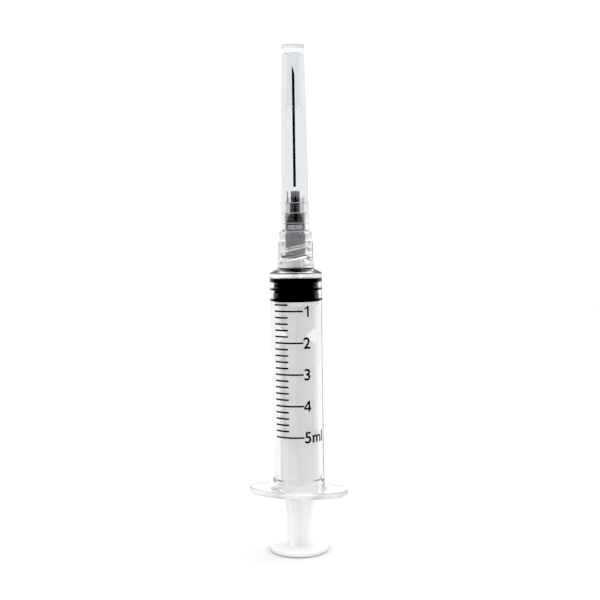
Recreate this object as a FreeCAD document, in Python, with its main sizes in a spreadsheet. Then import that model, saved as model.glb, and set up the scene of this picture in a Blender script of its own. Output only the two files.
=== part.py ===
import FreeCAD, Part
import math
import os

import Sketcher

# A 5 ml luer lock syringe with a capped needle, standing on its thumb press with the needle up.
# The origin is the centre of the thumb press's lower face and +Z runs along the syringe to the needle.
# All pieces share this axis. The finger flange is longest along X. Lengths are millimetres.

doc = FreeCAD.newDocument("luer_lock_syringe")

# The driving sizes: each name is a cell's alias, with the value that can be changed on its own.
DRIVING = [
    # Plunger rod
    ("rod_turn", -21.5),
    ("press_diameter", 15.5),
    ("press_thickness", 1.4),
    ("press_rounding", 0.35),
    ("rib_thickness", 1.2),
    ("rib_bore_clearance", 0.5),
    ("shank_span", 7.2),
    ("shank_straight", 7.7),
    ("exposed_rod", 13.95),
    ("rib_shoulder_step", 1.0),
    ("rib_shoulder_height", 1.1),
    ("notch_depth", 2.8),
    ("notch_height", 4.2),
    ("notch_below_disc", 8.0),
    ("disc_bore_clearance", 0.3),
    ("disc_thickness", 1.1),
    ("neck_diameter", 3.6),
    ("neck_length", 1.6),
    ("head_diameter", 5.8),
    ("head_rim", 0.7),
    ("head_tip_diameter", 2.6),
    ("head_tip_height", 1.5),
    # Barrel
    ("bore_diameter", 12.4),
    ("barrel_wall", 0.8),
    ("bore_depth", 57.95),
    ("mouth_chamfer", 0.35),
    ("ridge_from_mouth", 4.2),
    ("ridge_height", 0.15),
    ("ridge_half_width", 0.45),
    ("ridge_half_crest", 0.1),
    ("flange_wing", 6.5),
    ("flange_margin", 0.4),
    ("flange_tip_radius", 4.6),
    ("flange_thickness", 1.5),
    ("flange_rounding", 0.35),
    ("flange_root_fillet", 0.6),
    ("end_wall", 2.7),
    ("shoulder_from_bore_end", 1.4),
    ("shoulder_rounding", 0.5),
    ("shoulder_rise", 1.1),
    # Luer lock
    ("collar_wall", 0.63),
    ("collar_draft", 0.25),
    ("collar_depth", 7.0),
    ("collar_rounding", 0.2),
    ("nozzle_beyond_collar", 2.2),
    ("nozzle_tip_diameter", 3.93),
    ("nozzle_rounding", 0.15),
    ("nozzle_channel", 2.1),
    ("luer_taper", 0.06),
    ("luer_clearance", 0.02),
    ("luer_engagement", 6.7),
    ("thread_lug_clearance", 0.2),
    ("thread_hub_clearance", 0.85),
    ("thread_lead", 5.0),
    ("thread_root_width", 1.2),
    ("thread_crest_width", 0.4),
    ("thread_embed", 0.15),
    ("thread_turns", 1.08),
    ("thread_start_turn", 40.0),
    # Stopper
    ("stopper_height", 6.0),
    ("stopper_end_gap", 0.1),
    ("stopper_clearance", 0.01),
    ("waist_depth", 0.35),
    ("waist_bulge", 0.25),
    ("lip_chamfer", 0.2),
    ("top_rib_height", 0.9),
    ("waist_top_height", 0.9),
    ("middle_rib_height", 0.5),
    ("base_rib_height", 0.6),
    ("rib_flank", 0.35),
    ("pocket_clearance", 0.05),
    # Needle hub
    ("hub_turn", 19.5),
    ("hub_wall", 0.514),
    ("hub_crown_draft", 0.25),
    ("hub_body_length", 7.0),
    ("hub_crown_length", 2.4),
    ("hub_dome_length", 2.5),
    ("hub_dome_rounding", 1.6),
    ("nose_wall", 0.51),
    ("nose_length", 5.7),
    ("socket_beyond_nozzle", 2.1),
    ("socket_dome", 1.0),
    ("fin_thickness", 0.62),
    ("fin_beyond_hub", 0.09),
    ("fin_base_length", 4.5),
    ("fin_step", 0.42),
    ("fin_step_length", 4.2),
    ("fin_rounding", 0.9),
    ("lug_reach", 1.15),
    ("lug_thickness", 0.75),
    ("lug_width", 3.0),
    # Cannula and glue
    ("cannula_diameter", 0.72),
    ("cannula_bore", 0.41),
    ("cannula_clearance", 0.01),
    ("cannula_in_hub", 8.0),
    ("cannula_beyond_hub", 32.7),
    ("bevel_turn", -30.0),
    ("bevel_angle", 12.0),
    ("lancet_angle", 18.0),
    ("lancet_roll", 34.0),
    ("glue_cup_gap", 0.44),
    ("glue_cup_depth", 2.1),
    ("glue_foot_margin", 0.06),
    ("glue_foot_height", 0.25),
    ("glue_top_width", 0.14),
    ("glue_height", 1.2),
    # Needle cap
    ("cap_above_collar", 0.2),
    ("cap_tip_clearance", 3.2),
    ("cap_end_thickness", 2.5),
    ("cap_end_diameter", 5.94),
    ("cap_end_rounding", 0.5),
    ("cap_waist_diameter", 6.74),
    ("cap_foot_wall", 0.71),
    ("cap_skirt_flare", 0.76),
    ("cap_skirt_length", 1.7),
    ("cap_flare_length", 1.1),
    ("cap_wall", 0.77),
    ("cap_grip_clearance", 0.06),
    ("cap_mouth_length", 4.0),
    ("cap_mouth_step", 0.2),
    ("cap_grip_length", 5.8),
    ("cap_grip_step", 0.27),
    ("cap_step_from_end", 16.4),
    ("cap_tip_bore", 3.1),
    ("cap_core_bore", 3.8),
    ("cap_rib_thickness", 0.6),
    ("cap_rib_turn", 45.0),
]

# The levels and radii that follow from the driving sizes, each a formula of cells above it.
DERIVED = [
    # Bore: the rod's ribs, its disc and the stopper's waist keep their distance from it
    ("bore_radius", "bore_diameter / 2"),
    ("barrel_radius", "bore_radius + barrel_wall"),
    ("rib_reach", "bore_radius - rib_bore_clearance"),
    ("disc_radius", "bore_radius - disc_bore_clearance"),
    ("waist_radius", "bore_radius - waist_depth"),
    # Plunger rod: levels from the thumb press up
    ("press_radius", "press_diameter / 2"),
    ("shank_reach", "shank_span / 2"),
    ("shank_top_reach", "rib_reach - rib_shoulder_step"),
    ("shank_level", "press_thickness + shank_straight"),
    ("mouth_level", "press_thickness + exposed_rod"),
    ("shank_top_level", "mouth_level - rib_shoulder_height"),
    ("bore_end", "mouth_level + bore_depth"),
    ("stopper_top", "bore_end - stopper_end_gap"),
    ("stopper_base", "stopper_top - stopper_height"),
    ("disc_level", "stopper_base - disc_thickness"),
    ("notch_level", "disc_level - notch_below_disc"),
    ("notch_low", "notch_level - notch_height / 2"),
    ("notch_high", "notch_level + notch_height / 2"),
    ("notch_reach", "rib_reach - notch_depth"),
    ("neck_radius", "neck_diameter / 2"),
    ("neck_top", "stopper_base + neck_length"),
    ("head_radius", "head_diameter / 2"),
    ("head_rim_top", "neck_top + head_rim"),
    ("head_tip_radius", "head_tip_diameter / 2"),
    ("head_top", "head_rim_top + head_tip_height"),
    # Barrel
    ("mouth_radius", "bore_radius + mouth_chamfer"),
    ("mouth_chamfer_top", "mouth_level + mouth_chamfer"),
    ("ridge_level", "mouth_level + ridge_from_mouth"),
    ("ridge_foot", "ridge_level - ridge_half_width"),
    ("ridge_crest_low", "ridge_level - ridge_half_crest"),
    ("ridge_crest_high", "ridge_level + ridge_half_crest"),
    ("ridge_top", "ridge_level + ridge_half_width"),
    ("ridge_radius", "bore_radius - ridge_height"),
    ("flange_top", "mouth_level + flange_thickness"),
    ("flange_reach", "barrel_radius + flange_wing"),
    ("flange_depth", "2 * (barrel_radius + flange_margin)"),
    ("flange_tip_reach", "flange_reach - flange_tip_radius"),
    ("flange_arc_drop", "(flange_tip_reach ^ 2 + (flange_depth / 2) ^ 2 - flange_tip_radius ^ 2)"
     " / (flange_depth - 2 * flange_tip_radius) - flange_depth / 2"),
    ("shoulder_level", "bore_end + shoulder_from_bore_end"),
    ("collar_foot", "shoulder_level + shoulder_rise"),
    ("collar_floor", "bore_end + end_wall"),
    ("collar_top", "collar_floor + collar_depth"),
    ("channel_radius", "nozzle_channel / 2"),
    ("nozzle_tip", "collar_top + nozzle_beyond_collar"),
    ("nozzle_tip_radius", "nozzle_tip_diameter / 2"),
    ("nozzle_foot", "bore_end + end_wall / 2"),
    ("nozzle_foot_radius", "nozzle_tip_radius + (nozzle_tip - nozzle_foot) * luer_taper / 2"),
    # Radii outwards from the nozzle: hub's socket and wall, lugs, thread, collar
    ("socket_mouth_radius", "nozzle_tip_radius + luer_engagement * luer_taper / 2 + luer_clearance"),
    ("hub_radius", "socket_mouth_radius + hub_wall"),
    ("lug_radius", "hub_radius + lug_reach"),
    ("thread_root_radius", "lug_radius + thread_lug_clearance"),
    ("thread_crest_radius", "hub_radius + thread_hub_clearance"),
    ("collar_top_radius", "thread_root_radius + collar_wall"),
    ("collar_foot_radius", "collar_top_radius + collar_draft"),
    # The lugs' middle lies half a pitch of the two-start thread above a ridge
    ("hub_mouth", "nozzle_tip - luer_engagement"),
    ("lug_middle", "hub_mouth + lug_thickness / 2"),
    ("thread_at_lug", "lug_middle - thread_lead / 4"),
    ("thread_start", "thread_at_lug - thread_lead * (hub_turn + thread_start_turn) / 360"),
    ("thread_root_low", "thread_start - thread_root_width / 2"),
    ("thread_root_high", "thread_start + thread_root_width / 2"),
    ("thread_crest_low", "thread_start - thread_crest_width / 2"),
    ("thread_crest_high", "thread_start + thread_crest_width / 2"),
    ("thread_embed_radius", "thread_root_radius + thread_embed"),
    # Stopper
    ("seal_radius", "bore_radius - stopper_clearance"),
    ("lip_radius", "seal_radius - lip_chamfer"),
    ("lip_level", "stopper_top - lip_chamfer"),
    ("bulge_radius", "waist_radius + waist_bulge"),
    ("top_rib_low", "stopper_top - top_rib_height"),
    ("waist_high", "top_rib_low - rib_flank"),
    ("waist_low", "waist_high - waist_top_height"),
    ("middle_rib_high", "waist_low - rib_flank"),
    ("middle_rib_low", "middle_rib_high - middle_rib_height"),
    ("bulge_high", "middle_rib_low - rib_flank"),
    ("base_rib_low", "stopper_base + lip_chamfer"),
    ("base_rib_high", "base_rib_low + base_rib_height"),
    ("bulge_low", "base_rib_high + rib_flank"),
    ("pocket_neck_radius", "neck_radius + pocket_clearance"),
    ("pocket_neck_top", "neck_top - pocket_clearance"),
    ("pocket_radius", "head_radius + pocket_clearance"),
    ("pocket_rim_top", "head_rim_top + pocket_clearance"),
    ("pocket_tip_radius", "head_tip_radius + pocket_clearance"),
    ("pocket_top", "head_top + pocket_clearance"),
    # Needle hub
    ("hub_crown_radius", "hub_radius - hub_crown_draft"),
    ("hub_body_top", "hub_mouth + hub_body_length"),
    ("hub_crown_top", "hub_body_top + hub_crown_length"),
    ("hub_dome_top", "hub_crown_top + hub_dome_length"),
    ("nose_top", "hub_dome_top + nose_length"),
    ("socket_end", "nozzle_tip + socket_beyond_nozzle"),
    ("socket_end_radius", "socket_mouth_radius - (socket_end - hub_mouth) * luer_taper / 2"),
    ("socket_top", "socket_end + socket_dome"),
    ("cannula_radius", "cannula_diameter / 2"),
    ("cannula_bore_radius", "cannula_bore / 2"),
    ("cannula_hole_radius", "cannula_radius + cannula_clearance"),
    ("glue_cup_radius", "cannula_radius + glue_cup_gap"),
    ("glue_cup_level", "nose_top - glue_cup_depth"),
    ("nose_radius", "glue_cup_radius + nose_wall"),
    ("fin_base_radius", "hub_radius + fin_beyond_hub"),
    ("fin_step_radius", "fin_base_radius - fin_step"),
    ("fin_step_level", "hub_dome_top"),
    ("fin_foot", "fin_step_level - fin_base_length"),
    ("fin_top", "fin_step_level + fin_step_length"),
    # Cannula and glue
    ("cannula_foot", "nose_top - cannula_in_hub"),
    ("cannula_tip", "nose_top + cannula_beyond_hub"),
    ("bevel_length", "cannula_diameter / tan(bevel_angle)"),
    ("bevel_heel", "cannula_tip - bevel_length"),
    ("lancet_reach", "cannula_radius * cos(lancet_roll)"),
    ("lancet_heel", "cannula_tip - (cannula_radius + lancet_reach) / tan(lancet_angle)"),
    ("grinding_width", "3 * cannula_diameter"),
    ("glue_foot_radius", "nose_radius - glue_foot_margin"),
    ("glue_foot_top", "nose_top + glue_foot_height"),
    ("glue_top_radius", "cannula_radius + glue_top_width"),
    ("glue_top", "nose_top + glue_height"),
    # Needle cap
    ("cap_bottom", "collar_top + cap_above_collar"),
    ("cap_skirt_top", "cap_bottom + cap_skirt_length"),
    ("cap_flare_top", "cap_skirt_top + cap_flare_length"),
    ("cap_ceiling", "cannula_tip + cap_tip_clearance"),
    ("cap_top", "cap_ceiling + cap_end_thickness"),
    ("cap_step", "cap_top - cap_step_from_end"),
    ("cap_end_radius", "cap_end_diameter / 2"),
    ("cap_waist_radius", "cap_waist_diameter / 2"),
    ("cap_grip_radius", "fin_base_radius + cap_grip_clearance"),
    ("cap_mouth_radius", "cap_grip_radius + cap_mouth_step"),
    ("cap_foot_radius", "cap_mouth_radius + cap_foot_wall"),
    ("cap_skirt_radius", "cap_foot_radius + cap_skirt_flare"),
    ("cap_skirt_bore_radius", "cap_skirt_radius - cap_wall"),
    ("cap_mouth_top", "cap_bottom + cap_mouth_length"),
    ("cap_grip_top", "cap_mouth_top + cap_grip_length"),
    ("cap_fin_bore_radius", "cap_grip_radius - cap_grip_step"),
    ("cap_core_radius", "cap_core_bore / 2"),
    ("cap_tip_bore_radius", "cap_tip_bore / 2"),
    ("cap_step_bore_radius", "cap_waist_radius - cap_wall"),
    ("cap_rib_outer_radius", "cap_core_radius + cap_wall"),
]

# How near a found edge lies to the level, radius or length it is looked for at
LEVEL_TOLERANCE = 1e-4
RADIUS_TOLERANCE = 1e-3

RIB_COUNT = 4
THREAD_STARTS = 2
FIN_COUNT = 4
CAP_RIB_COUNT = 4

sheet = doc.addObject("Spreadsheet::Sheet", "dimensions")
cells = [(alias, str(value)) for alias, value in DRIVING] + [(alias, "=" + rule) for alias, rule in DERIVED]
for row, (alias, content) in enumerate(cells, start=1):
    cell = "A%d" % row
    sheet.set(cell, content)
    sheet.setAlias(cell, alias)
doc.recompute()


def size(name):
    """The value of a cell, or of minus a cell."""
    if name.startswith("-"):
        return -size(name[1:])
    return 0.0 if name == "0" else float(sheet.get(name))


def formula(name):
    """The expression that binds a property to a cell, or to minus a cell."""
    return "-dimensions." + name[1:] if name.startswith("-") else "dimensions." + name


def turn_about(axis):
    """A placement at the origin, turned about an axis by an angle that an expression sets afterwards."""
    return FreeCAD.Placement(FreeCAD.Vector(), FreeCAD.Rotation(axis, 1))


def new_body(name):
    body = doc.addObject("PartDesign::Body", name)
    body.Label = name
    return body


def origin_feature(body, role):
    """A plane or an axis of the body's own origin."""
    return [item for item in body.Origin.OriginFeatures if item.Role == role][0]


def new_sketch(body, name, role="XZ_Plane", level=None, turn=None):
    """A sketch on one of the body's planes, raised to a level and turned about the sketch's own upright."""
    sketch = body.newObject("Sketcher::SketchObject", name)
    sketch.AttachmentSupport = [(origin_feature(body, role), "")]
    sketch.MapMode = "FlatFace"
    if level:
        sketch.setExpression("AttachmentOffset.Base.z", formula(level))
    if turn:
        sketch.AttachmentOffset = turn_about(FreeCAD.Vector(0, 1, 0))
        sketch.setExpression("AttachmentOffset.Rotation.Angle", formula(turn))
    return sketch


def place_point(sketch, edge, end, across, up):
    """Ties an edge's end to the sketch's origin, across and up by the values of two cells."""
    for kind, axis_edge, name in (("DistanceX", -2, across), ("DistanceY", -1, up)):
        if name == "0":
            sketch.addConstraint(Sketcher.Constraint("PointOnObject", edge, end, axis_edge))
        else:
            index = sketch.addConstraint(Sketcher.Constraint(kind, -1, 1, edge, end, size(name)))
            sketch.setExpression("Constraints[%d]" % index, formula(name))


def draw_outline(sketch, corners):
    """A closed chain of straight edges through corners, each named by its two cells."""
    points = [FreeCAD.Vector(size(across), size(up), 0) for across, up in corners]
    first = sketch.GeometryCount
    count = len(points)
    for index in range(count):
        sketch.addGeometry(Part.LineSegment(points[index], points[(index + 1) % count]), False)
    for index in range(count):
        following = (index + 1) % count
        sketch.addConstraint(Sketcher.Constraint("Coincident", first + index, 2, first + following, 1))
    for index, (across, up) in enumerate(corners):
        place_point(sketch, first + index, 1, across, up)


def require_change(body, name, grows):
    """Stops the build where a feature added or cut nothing."""
    doc.recompute()
    feature = doc.getObject(name)
    before = feature.BaseFeature.Shape.Volume if feature.BaseFeature else 0.0
    after = feature.Shape.Volume
    if (after <= before) if grows else (after >= before):
        raise RuntimeError("%s changed nothing in %s" % (name, body.Name))
    return feature


def spin(body, name, corners, cut=False):
    """Turns an outline of radius and height about the syringe's axis."""
    sketch = new_sketch(body, name + "_sketch")
    draw_outline(sketch, corners)
    feature = body.newObject("PartDesign::Groove" if cut else "PartDesign::Revolution", name)
    feature.Profile = sketch
    feature.ReferenceAxis = (sketch, ["V_Axis"])
    feature.Angle = 360
    return require_change(body, name, not cut)


def pad(body, name, sketch, length, symmetric=False):
    feature = body.newObject("PartDesign::Pad", name)
    feature.Profile = sketch
    feature.SideType = "Symmetric" if symmetric else "One side"
    feature.setExpression("Length", formula(length))
    return require_change(body, name, True)


def around(body, name, feature, count):
    """Repeats a feature evenly about the syringe's axis."""
    pattern = body.newObject("PartDesign::PolarPattern", name)
    pattern.Originals = [feature]
    pattern.Axis = (origin_feature(body, "Z_Axis"), [""])
    pattern.Angle = 360
    pattern.Occurrences = count
    body.Tip = pattern
    return require_change(body, name, True)


def about_axis(edge):
    """True for a circle or part of one about the syringe's axis."""
    curve = edge.Curve
    return isinstance(curve, Part.Circle) and math.hypot(curve.Center.x, curve.Center.y) < LEVEL_TOLERANCE


def at_level(edge, level):
    """True for an edge that lies flat at a level."""
    return all(abs(vertex.Z - level) < LEVEL_TOLERANCE for vertex in edge.Vertexes)


def edge_names(shape, wanted):
    """Names the edges of a shape that a test accepts."""
    return ["Edge%d" % number for number, edge in enumerate(shape.Edges, start=1) if wanted(edge)]


def circles(shape, radius, level):
    """Names the circles about the axis at a radius and a level."""
    return edge_names(shape, lambda edge: about_axis(edge) and at_level(edge, level)
                      and abs(edge.Curve.Radius - radius) < RADIUS_TOLERANCE)


def round_edges(body, name, edges, radius):
    """Rounds the named edges of the body's present shape."""
    if not edges:
        raise RuntimeError("%s found no edge in %s" % (name, body.Name))
    base = body.Tip
    feature = body.newObject("PartDesign::Fillet", name)
    feature.Base = (base, edges)
    feature.setExpression("Radius", formula(radius))
    doc.recompute()
    return feature


def turn_body(body, name):
    """Turns a finished piece about the syringe's axis by a cell's angle."""
    body.Placement = turn_about(FreeCAD.Vector(0, 0, 1))
    body.setExpression("Placement.Rotation.Angle", formula(name))


# Barrel: tube, shoulder and lock collar turned as one form, then the flange, nozzle, thread and bore

def make_barrel():
    body = new_body("barrel")
    spin(body, "barrel_form", [
        ("0", "mouth_level"),
        ("barrel_radius", "mouth_level"),
        ("barrel_radius", "shoulder_level"),
        ("collar_foot_radius", "collar_foot"),
        ("collar_top_radius", "collar_top"),
        ("0", "collar_top"),
    ])
    round_edges(body, "shoulder_round", circles(body.Shape, size("barrel_radius"), size("shoulder_level")),
                "shoulder_rounding")
    sketch = new_sketch(body, "finger_flange_sketch", "XY_Plane", level="mouth_level")
    draw_flange(sketch)
    half = pad(body, "finger_flange_half", sketch, "flange_thickness")
    flange = body.newObject("PartDesign::Mirrored", "finger_flange")
    flange.Originals = [half]
    flange.MirrorPlane = (origin_feature(body, "XZ_Plane"), [""])
    body.Tip = flange
    require_change(body, "finger_flange", True)
    under = size("mouth_level")
    over = size("flange_top")
    rims = edge_names(body.Shape, lambda edge: not about_axis(edge)
                      and (at_level(edge, under) or at_level(edge, over)))
    round_edges(body, "flange_rim_round", rims, "flange_rounding")
    round_edges(body, "flange_root_round", circles(body.Shape, size("barrel_radius"), over),
                "flange_root_fillet")
    spin(body, "collar_recess", [
        ("0", "collar_floor"),
        ("thread_root_radius", "collar_floor"),
        ("thread_root_radius", "collar_top"),
        ("0", "collar_top"),
    ], cut=True)
    round_edges(body, "collar_round", circles(body.Shape, size("collar_top_radius"), size("collar_top")),
                "collar_rounding")
    spin(body, "nozzle", [
        ("0", "nozzle_foot"),
        ("nozzle_foot_radius", "nozzle_foot"),
        ("nozzle_tip_radius", "nozzle_tip"),
        ("0", "nozzle_tip"),
    ])
    round_edges(body, "nozzle_round", circles(body.Shape, size("nozzle_tip_radius"), size("nozzle_tip")),
                "nozzle_rounding")
    spin(body, "bore", [
        ("0", "mouth_level"),
        ("mouth_radius", "mouth_level"),
        ("bore_radius", "mouth_chamfer_top"),
        ("bore_radius", "ridge_foot"),
        ("ridge_radius", "ridge_crest_low"),
        ("ridge_radius", "ridge_crest_high"),
        ("bore_radius", "ridge_top"),
        ("bore_radius", "bore_end"),
        ("channel_radius", "bore_end"),
        ("channel_radius", "nozzle_tip"),
        ("0", "nozzle_tip"),
    ], cut=True)
    add_thread(body)
    return body


def draw_flange(sketch):
    """Half of an oval: a long arc between two tip arcs, tangent where they meet, closed along X."""
    left_end = FreeCAD.Vector(-size("flange_reach"), 0, 0)
    right_end = FreeCAD.Vector(size("flange_reach"), 0, 0)
    tip = size("flange_tip_radius")
    reach = size("flange_tip_reach")
    drop = size("flange_arc_drop")
    long_radius = drop + size("flange_depth") / 2
    lean = math.atan2(reach, drop)
    up = FreeCAD.Vector(0, 0, 1)
    arcs = [
        (FreeCAD.Vector(reach, 0, 0), tip, 0, math.pi / 2 - lean),
        (FreeCAD.Vector(0, -drop, 0), long_radius, math.pi / 2 - lean, math.pi / 2 + lean),
        (FreeCAD.Vector(-reach, 0, 0), tip, math.pi / 2 + lean, math.pi),
    ]
    for centre, radius, start, end in arcs:
        sketch.addGeometry(Part.ArcOfCircle(Part.Circle(centre, up, radius), start, end), False)
    sketch.addGeometry(Part.LineSegment(left_end, right_end), False)
    edges = len(arcs) + 1
    for index, kind in enumerate(("Tangent", "Tangent", "Coincident", "Coincident")):
        sketch.addConstraint(Sketcher.Constraint(kind, index, 2, (index + 1) % edges, 1))
    for index, point, axis_edge in ((0, 3, -1), (1, 3, -2), (2, 3, -1), (3, 1, -1), (3, 2, -1)):
        sketch.addConstraint(Sketcher.Constraint("PointOnObject", index, point, axis_edge))
    sketch.addConstraint(Sketcher.Constraint("Equal", 0, 2))
    for kind, ends, value, name in (
            ("Radius", (0,), tip, "flange_tip_radius"),
            ("DistanceX", (-1, 1, 0, 3), reach, "flange_tip_reach"),
            ("DistanceY", (1, 3, -1, 1), drop, "flange_arc_drop")):
        index = sketch.addConstraint(Sketcher.Constraint(kind, *ends, value))
        sketch.setExpression("Constraints[%d]" % index, formula(name))


def add_thread(body):
    """Two right-hand ridges inside the collar, half a turn apart, which the hub's lugs run between."""
    sketch = new_sketch(body, "thread_section", turn="-thread_start_turn")
    draw_outline(sketch, [
        ("thread_embed_radius", "thread_root_low"),
        ("thread_root_radius", "thread_root_low"),
        ("thread_crest_radius", "thread_crest_low"),
        ("thread_crest_radius", "thread_crest_high"),
        ("thread_root_radius", "thread_root_high"),
        ("thread_embed_radius", "thread_root_high"),
    ])
    ridge = body.newObject("PartDesign::AdditiveHelix", "thread_ridge")
    ridge.Profile = sketch
    ridge.ReferenceAxis = (origin_feature(body, "Z_Axis"), [""])
    ridge.Mode = "pitch-turns-angle"
    ridge.setExpression("Pitch", formula("thread_lead"))
    ridge.setExpression("Turns", formula("thread_turns"))
    ridge.LeftHanded = False
    require_change(body, "thread_ridge", True)
    around(body, "thread_starts", ridge, THREAD_STARTS)


# Plunger rod: four ribs, then the thumb press, the disc under the stopper and the head inside it

def make_plunger_rod():
    body = new_body("plunger_rod")
    sketch = new_sketch(body, "rib_sketch")
    draw_outline(sketch, [
        ("0", "press_thickness"),
        ("shank_reach", "press_thickness"),
        ("shank_reach", "shank_level"),
        ("shank_top_reach", "shank_top_level"),
        ("rib_reach", "mouth_level"),
        ("rib_reach", "notch_low"),
        ("notch_reach", "notch_level"),
        ("rib_reach", "notch_high"),
        ("rib_reach", "disc_level"),
        ("0", "disc_level"),
    ])
    rib = pad(body, "rib", sketch, "rib_thickness", symmetric=True)
    around(body, "ribs", rib, RIB_COUNT)
    spin(body, "thumb_press", [
        ("0", "0"),
        ("press_radius", "0"),
        ("press_radius", "press_thickness"),
        ("0", "press_thickness"),
    ])
    rims = circles(body.Shape, size("press_radius"), 0) + circles(
        body.Shape, size("press_radius"), size("press_thickness"))
    round_edges(body, "press_round", rims, "press_rounding")
    spin(body, "stopper_mount", [
        ("0", "disc_level"),
        ("disc_radius", "disc_level"),
        ("disc_radius", "stopper_base"),
        ("neck_radius", "stopper_base"),
        ("neck_radius", "neck_top"),
        ("head_radius", "neck_top"),
        ("head_radius", "head_rim_top"),
        ("head_tip_radius", "head_top"),
        ("0", "head_top"),
    ])
    turn_body(body, "rod_turn")
    return body


# Stopper: three sealing ribs, a straight waist and a bulged one, and the pocket for the rod's head

def make_stopper():
    body = new_body("stopper")
    spin(body, "stopper_form", [
        ("0", "stopper_base"),
        ("lip_radius", "stopper_base"),
        ("seal_radius", "base_rib_low"),
        ("seal_radius", "base_rib_high"),
        ("bulge_radius", "bulge_low"),
        ("waist_radius", "bulge_high"),
        ("seal_radius", "middle_rib_low"),
        ("seal_radius", "middle_rib_high"),
        ("waist_radius", "waist_low"),
        ("waist_radius", "waist_high"),
        ("seal_radius", "top_rib_low"),
        ("seal_radius", "lip_level"),
        ("lip_radius", "stopper_top"),
        ("0", "stopper_top"),
    ])
    spin(body, "head_pocket", [
        ("0", "stopper_base"),
        ("pocket_neck_radius", "stopper_base"),
        ("pocket_neck_radius", "pocket_neck_top"),
        ("pocket_radius", "pocket_neck_top"),
        ("pocket_radius", "pocket_rim_top"),
        ("pocket_tip_radius", "pocket_top"),
        ("0", "pocket_top"),
    ], cut=True)
    return body


# Needle hub: body with dome and nose, four fins, two lock lugs, then the luer socket and the glue cup

def make_needle_hub():
    body = new_body("needle_hub")
    spin(body, "hub_form", [
        ("0", "hub_mouth"),
        ("hub_radius", "hub_mouth"),
        ("hub_radius", "hub_body_top"),
        ("hub_crown_radius", "hub_crown_top"),
        ("nose_radius", "hub_dome_top"),
        ("nose_radius", "nose_top"),
        ("0", "nose_top"),
    ])
    round_edges(body, "dome_round", circles(body.Shape, size("hub_crown_radius"), size("hub_crown_top")),
                "hub_dome_rounding")
    lugs = new_sketch(body, "lug_sketch", "XY_Plane", level="hub_mouth")
    draw_lugs(lugs)
    pad(body, "lugs", lugs, "lug_thickness")
    fin_sketch = new_sketch(body, "fin_sketch")
    draw_outline(fin_sketch, [
        ("0", "fin_foot"),
        ("fin_base_radius", "fin_foot"),
        ("fin_base_radius", "fin_step_level"),
        ("fin_step_radius", "fin_step_level"),
        ("fin_step_radius", "fin_top"),
        ("0", "fin_top"),
    ])
    fin = pad(body, "fin", fin_sketch, "fin_thickness", symmetric=True)
    around(body, "fins", fin, FIN_COUNT)

    def is_fin_tip(edge):
        across = math.hypot(edge.CenterOfMass.x, edge.CenterOfMass.y)
        return (at_level(edge, size("fin_top")) and isinstance(edge.Curve, Part.Line)
                and abs(across - size("fin_step_radius")) < RADIUS_TOLERANCE)

    round_edges(body, "fin_round", edge_names(body.Shape, is_fin_tip), "fin_rounding")
    spin(body, "luer_socket", [
        ("0", "hub_mouth"),
        ("socket_mouth_radius", "hub_mouth"),
        ("socket_end_radius", "socket_end"),
        ("cannula_hole_radius", "socket_top"),
        ("cannula_hole_radius", "glue_cup_level"),
        ("glue_cup_radius", "nose_top"),
        ("0", "nose_top"),
    ], cut=True)
    turn_body(body, "hub_turn")
    return body


def draw_lugs(sketch):
    """A bar across the hub's mouth with ends rounded to the lugs' circle."""
    radius = size("lug_radius")
    half_width = size("lug_width") / 2
    reach = math.sqrt(radius ** 2 - half_width ** 2)
    spread = math.atan2(half_width, reach)
    up = FreeCAD.Vector(0, 0, 1)
    circle = Part.Circle(FreeCAD.Vector(), up, radius)
    corners = [(-reach, -half_width), (reach, -half_width), (reach, half_width), (-reach, half_width)]
    low_left, low_right, high_right, high_left = [FreeCAD.Vector(x, y, 0) for x, y in corners]
    sketch.addGeometry(Part.LineSegment(low_left, low_right), False)
    sketch.addGeometry(Part.ArcOfCircle(circle, -spread, spread), False)
    sketch.addGeometry(Part.LineSegment(high_right, high_left), False)
    sketch.addGeometry(Part.ArcOfCircle(circle, math.pi - spread, math.pi + spread), False)
    for index in range(len(corners)):
        sketch.addConstraint(Sketcher.Constraint("Coincident", index, 2, (index + 1) % len(corners), 1))
    for index in (0, 2):
        sketch.addConstraint(Sketcher.Constraint("Horizontal", index))
    for index in (1, 3):
        sketch.addConstraint(Sketcher.Constraint("Coincident", index, 3, -1, 1))
    radius_index = sketch.addConstraint(Sketcher.Constraint("Radius", 1, radius))
    sketch.setExpression("Constraints[%d]" % radius_index, formula("lug_radius"))
    for index, side in ((0, -1), (2, 1)):
        across = Sketcher.Constraint("DistanceY", -1, 1, index, 1, side * half_width)
        line_index = sketch.addConstraint(across)
        sketch.setExpression("Constraints[%d]" % line_index, "%d * dimensions.lug_width / 2" % side)


# Cannula: a steel tube, ground to a long bevel and then to two side facets at its point

def make_cannula():
    body = new_body("cannula")
    spin(body, "tube", [
        ("cannula_bore_radius", "cannula_foot"),
        ("cannula_radius", "cannula_foot"),
        ("cannula_radius", "cannula_tip"),
        ("cannula_bore_radius", "cannula_tip"),
    ])
    bevel_sketch = new_sketch(body, "bevel_sketch")
    draw_outline(bevel_sketch, [
        ("cannula_radius", "bevel_heel"),
        ("cannula_radius", "cannula_tip"),
        ("-cannula_radius", "cannula_tip"),
    ])
    grind(body, "bevel", bevel_sketch)
    for name, turn in (("left_facet", "lancet_roll"), ("right_facet", "-lancet_roll")):
        facet_sketch = new_sketch(body, name + "_sketch", turn=turn)
        draw_outline(facet_sketch, [
            ("cannula_radius", "lancet_heel"),
            ("cannula_radius", "cannula_tip"),
            ("-lancet_reach", "cannula_tip"),
        ])
        grind(body, name, facet_sketch)
    turn_body(body, "bevel_turn")
    return body


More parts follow.
